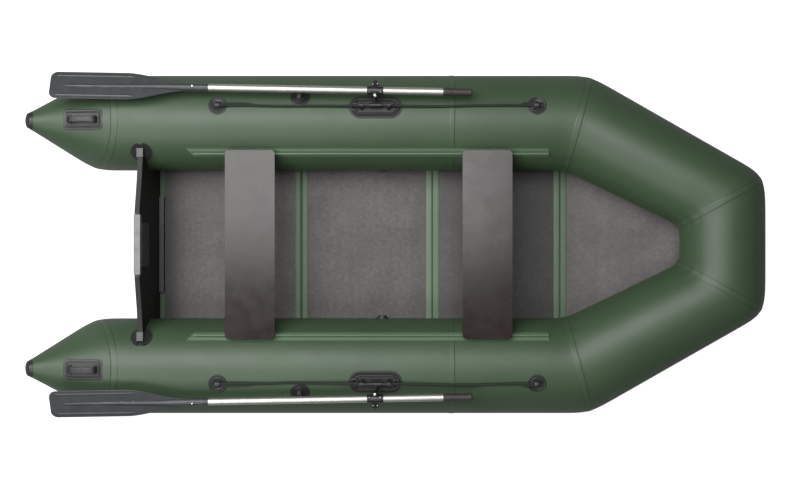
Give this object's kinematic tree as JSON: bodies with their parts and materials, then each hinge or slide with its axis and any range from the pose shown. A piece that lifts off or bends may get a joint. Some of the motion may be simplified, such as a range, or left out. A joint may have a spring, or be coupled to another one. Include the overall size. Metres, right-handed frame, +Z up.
{
  "type": "inflatable boat",
  "caption": "Inflatable rowing and motor boat with a hinged slatted floor, plywood transom, sliding bench seats and oars in swivelling oarlocks.",
  "frame": {"origin": "on the floor under the middle of the hull, on its centreline", "axes": "+X to the bow, +Y to port, +Z up"},
  "size_m": [3.2, 1.48, 0.4985],
  "materials": {
    "hull_fabric": "coated fabric, semi-matt, dark green",
    "bottom_fabric": "coated fabric, semi-matt, dark green",
    "strip_fabric": "coated fabric, semi-matt, green",
    "rail_fabric": "coated fabric, semi-matt, green",
    "floor_ply": "film-faced plywood with a mesh pattern",
    "seat_ply": "film-faced plywood, glossy",
    "transom_ply": "film-faced plywood, dark brown",
    "grey_plastic": "moulded plastic, satin",
    "black_rubber": "moulded rubber, satin",
    "black_plastic": "glass-filled nylon, satin",
    "slider_plastic": "extruded plastic, satin",
    "rope": "braided line",
    "oar_aluminium": "anodised tube, satin",
    "blade_plastic": "moulded plastic, satin",
    "grip_rubber": "foam rubber, matt"
  },
  "bodies": {
    "hull": {"bottom_skin": "bottom_fabric", "bow_tube": "hull_fabric", "bow_tow_eye": "black_rubber", "floor_board_aft": "floor_ply", "floor_board_mid_aft": "floor_ply", "floor_board_mid_forward": "floor_ply", "floor_board_bow": "floor_ply", "floor_hinge_strips": "strip_fabric", "floor_cleat": "transom_ply", "transom_board": "transom_ply", "transom_cap": "grey_plastic", "motor_plate_outer": "grey_plastic", "motor_plate_inner": "grey_plastic", "port_air_valve": "black_rubber", "starboard_air_valve": "black_rubber", "port_side_tube_aft": "hull_fabric", "port_side_tube_forward": "hull_fabric", "port_bow_quarter": "hull_fabric", "port_stern_cone": "hull_fabric", "port_cone_cap": "black_rubber", "port_transom_holder": "black_rubber", "port_transom_end_cap": "grey_plastic", "port_seat_rail": "rail_fabric", "port_grab_line_eye_aft": "black_rubber", "port_grab_line_eye_forward": "black_rubber", "port_grab_line_aft": "rope", "port_grab_line_forward": "rope", "port_oarlock_base": "black_rubber", "port_oar_rest": "black_rubber", "port_carry_handle": "black_rubber", "starboard_side_tube_aft": "hull_fabric", "starboard_side_tube_forward": "hull_fabric", "starboard_bow_quarter": "hull_fabric", "starboard_stern_cone": "hull_fabric", "starboard_cone_cap": "black_rubber", "starboard_transom_holder": "black_rubber", "starboard_transom_end_cap": "grey_plastic", "starboard_seat_rail": "rail_fabric", "starboard_grab_line_eye_aft": "black_rubber", "starboard_grab_line_eye_forward": "black_rubber", "starboard_grab_line_aft": "rope", "starboard_grab_line_forward": "rope", "starboard_oarlock_base": "black_rubber", "starboard_oar_rest": "black_rubber", "starboard_carry_handle": "black_rubber"},
    "aft_seat": {"aft_seat_board": "seat_ply", "aft_seat_sliders": "slider_plastic"},
    "forward_seat": {"forward_seat_board": "seat_ply", "forward_seat_sliders": "slider_plastic"},
    "port_swivel": {"port_oarlock_swivel": "black_plastic"},
    "port_clamp": {"port_oar_clamp": "black_plastic"},
    "port_oar": {"port_oar_shaft": "oar_aluminium", "port_oar_blade": "blade_plastic", "port_oar_grip": "grip_rubber"},
    "starboard_swivel": {"starboard_oarlock_swivel": "black_plastic"},
    "starboard_clamp": {"starboard_oar_clamp": "black_plastic"},
    "starboard_oar": {"starboard_oar_shaft": "oar_aluminium", "starboard_oar_blade": "blade_plastic", "starboard_oar_grip": "grip_rubber"}
  },
  "joints": [
    {"name": "aft_seat_slide", "type": "slide", "parent": "hull", "child": "aft_seat", "axis": [-1, 0, 0], "range_m": [-0.39, 0.17]},
    {"name": "forward_seat_slide", "type": "slide", "parent": "hull", "child": "forward_seat", "axis": [1, 0, 0], "range_m": [-0.39, 0.16]},
    {"name": "port_oar_tilt", "type": "hinge", "parent": "hull", "child": "port_swivel", "pos_m": [-0.076, 0.59057, 0.43366], "axis": [1, 0, 0], "range_deg": [0, 35]},
    {"name": "port_oar_sweep", "type": "hinge", "parent": "port_swivel", "child": "port_clamp", "pos_m": [-0.076, 0.6239, 0.4688], "axis": [0, -0.3746, -0.9272], "range_deg": [0, 120]},
    {"name": "port_oar_feather", "type": "hinge", "parent": "port_clamp", "child": "port_oar", "pos_m": [-0.076, 0.6494, 0.4585], "axis": [-0.9998, 0.0186, -0.0075], "range_deg": [0, 90]},
    {"name": "starboard_oar_tilt", "type": "hinge", "parent": "hull", "child": "starboard_swivel", "pos_m": [-0.076, -0.59057, 0.43366], "axis": [-1, 0, 0], "range_deg": [0, 35]},
    {"name": "starboard_oar_sweep", "type": "hinge", "parent": "starboard_swivel", "child": "starboard_clamp", "pos_m": [-0.076, -0.6239, 0.4688], "axis": [0, -0.3746, 0.9272], "range_deg": [0, 120]},
    {"name": "starboard_oar_feather", "type": "hinge", "parent": "starboard_clamp", "child": "starboard_oar", "pos_m": [-0.076, -0.6494, 0.4585], "axis": [0.9998, 0.0186, 0.0075], "range_deg": [0, 90]}
  ]
}
